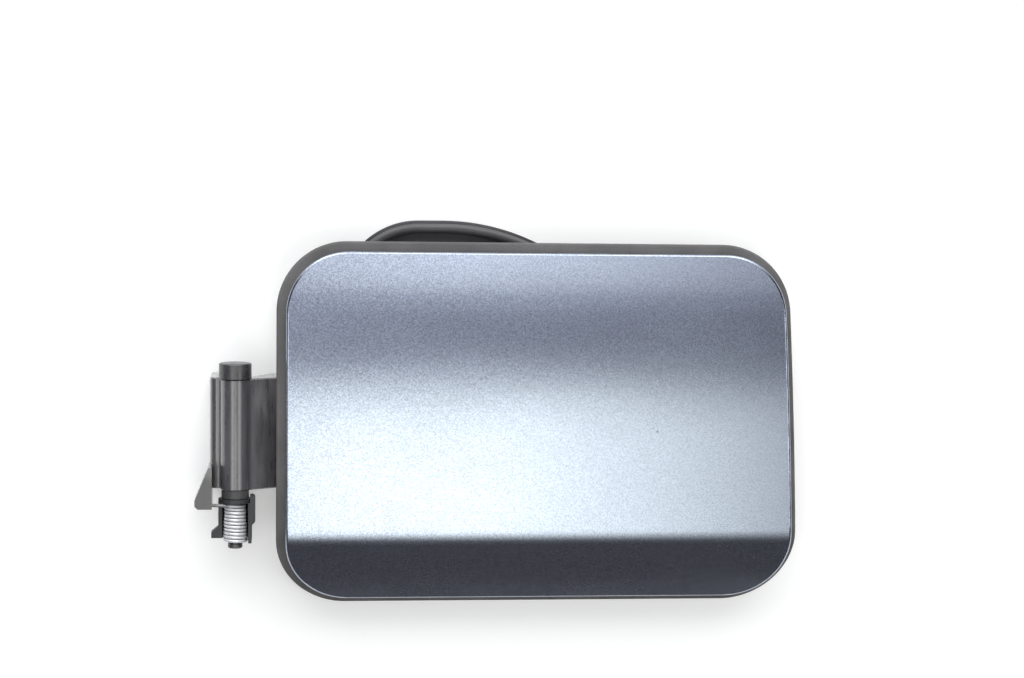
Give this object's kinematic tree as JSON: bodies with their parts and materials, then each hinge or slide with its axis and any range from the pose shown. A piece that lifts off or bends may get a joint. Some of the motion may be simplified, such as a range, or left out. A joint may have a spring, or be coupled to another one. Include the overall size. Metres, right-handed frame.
{
  "type": "fuel filler flap",
  "caption": "Rounded rectangular fuel filler flap with a creased painted skin, black edge lip, sprung hinge arm, cap holder and latch eye.",
  "frame": {"origin": "on the hinge axis at the shoulder under the pin's head", "axes": "+X from the hinge to the free edge, +Y along the hinge axis towards the pin's head, +Z out of the painted face"},
  "size_m": [0.2067, 0.1321, 0.0295],
  "materials": {
    "outer_skin": "metallic grey paint under clear coat",
    "edge_seal": "matt black",
    "inner_panel": "fine grained black",
    "hinge_arm": "smooth black, scuffed",
    "lower_bush": "smooth black",
    "cap_holder": "smooth black, scuffed",
    "catch_loop": "smooth black",
    "upper_buffer": "matt black",
    "lower_buffer": "matt black",
    "panel_screws": "zinc plated",
    "hinge_pin": "blackened steel",
    "spring_cage": "black",
    "torsion_spring": "zinc plated wire"
  },
  "bodies": {
    "hinge_base": {"hinge_pin": "hinge_pin", "spring_cage": "spring_cage", "torsion_spring": "torsion_spring"},
    "flap": {"outer_skin": "outer_skin", "edge_seal": "edge_seal", "inner_panel": "inner_panel", "hinge_arm": "hinge_arm", "lower_bush": "lower_bush", "cap_holder": "cap_holder", "catch_loop": "catch_loop", "upper_buffer": "upper_buffer", "lower_buffer": "lower_buffer", "panel_screws": "panel_screws"}
  },
  "joints": [
    {"name": "flap_hinge", "type": "hinge", "parent": "hinge_base", "child": "flap", "pos_m": [0, 0, 0], "axis": [0, -1, 0], "range_deg": [0, 95], "stiffness_Nm_per_rad": 0.03, "springref_deg": -11.46, "deforming": ["torsion_spring"]}
  ]
}
